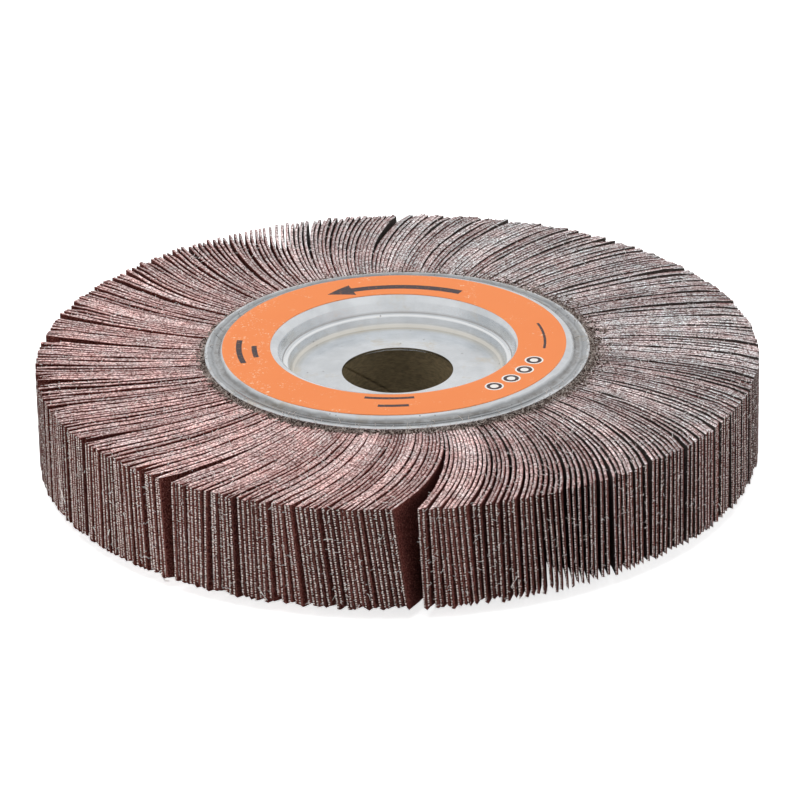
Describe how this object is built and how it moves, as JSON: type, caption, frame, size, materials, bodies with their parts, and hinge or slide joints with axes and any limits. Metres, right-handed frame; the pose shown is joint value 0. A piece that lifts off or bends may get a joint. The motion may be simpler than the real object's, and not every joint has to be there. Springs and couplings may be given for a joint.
{
  "type": "flap wheel",
  "caption": "Abrasive flap wheel: cloth flaps swept clockwise round a resin ring, between two pressed steel flanges with dished centres and a plain bore.",
  "frame": {"origin": "centre of the bore on the wheel's mid-plane, half-way between the two hub lands", "axes": "+Z along the bore out of the labelled front flange; -Y towards the side with the widest cleft in the flaps, +X to its right"},
  "size_m": [0.1652, 0.1654, 0.0289],
  "materials": {
    "zinc_plated_steel": "pressed sheet, zinc plated, satin with faint bluish tint",
    "orange_label": "printed paper label, matt orange with pale scuffs",
    "fibre_tube": "dark olive-brown rolled fibre",
    "resin": "dull brown resin",
    "abrasive_cloth": "red-brown abrasive grain on grey cloth, pale cut edges"
  },
  "bodies": {
    "root": {"front_flange": "zinc_plated_steel", "rear_flange": "zinc_plated_steel", "front_label": "orange_label", "spacer_tube": "fibre_tube", "resin_ring": "resin", "flap_bunch_01": "abrasive_cloth", "flap_bunch_02": "abrasive_cloth", "flap_bunch_03": "abrasive_cloth", "flap_bunch_04": "abrasive_cloth", "flap_bunch_05": "abrasive_cloth", "flap_bunch_06": "abrasive_cloth", "flap_bunch_07": "abrasive_cloth", "flap_bunch_08": "abrasive_cloth", "flap_bunch_09": "abrasive_cloth", "flap_bunch_10": "abrasive_cloth", "flap_bunch_11": "abrasive_cloth", "flap_bunch_12": "abrasive_cloth", "flap_bunch_13": "abrasive_cloth", "flap_bunch_14": "abrasive_cloth", "flap_bunch_15": "abrasive_cloth", "flap_bunch_16": "abrasive_cloth", "flap_bunch_17": "abrasive_cloth", "flap_bunch_18": "abrasive_cloth", "flap_bunch_19": "abrasive_cloth", "flap_bunch_20": "abrasive_cloth", "flap_bunch_21": "abrasive_cloth", "flap_bunch_22": "abrasive_cloth", "flap_bunch_23": "abrasive_cloth", "flap_bunch_24": "abrasive_cloth", "flap_bunch_25": "abrasive_cloth", "flap_bunch_26": "abrasive_cloth", "flap_bunch_27": "abrasive_cloth", "flap_bunch_28": "abrasive_cloth", "flap_bunch_29": "abrasive_cloth", "flap_bunch_30": "abrasive_cloth", "flap_bunch_31": "abrasive_cloth", "flap_bunch_32": "abrasive_cloth", "flap_bunch_33": "abrasive_cloth", "flap_bunch_34": "abrasive_cloth", "flap_bunch_35": "abrasive_cloth", "flap_bunch_36": "abrasive_cloth", "flap_bunch_37": "abrasive_cloth", "flap_bunch_38": "abrasive_cloth", "flap_bunch_39": "abrasive_cloth", "flap_bunch_40": "abrasive_cloth", "flap_bunch_41": "abrasive_cloth", "flap_bunch_42": "abrasive_cloth", "flap_bunch_43": "abrasive_cloth", "flap_bunch_44": "abrasive_cloth", "flap_bunch_45": "abrasive_cloth", "flap_bunch_46": "abrasive_cloth", "flap_bunch_47": "abrasive_cloth", "flap_bunch_48": "abrasive_cloth"}
  },
  "joints": []
}
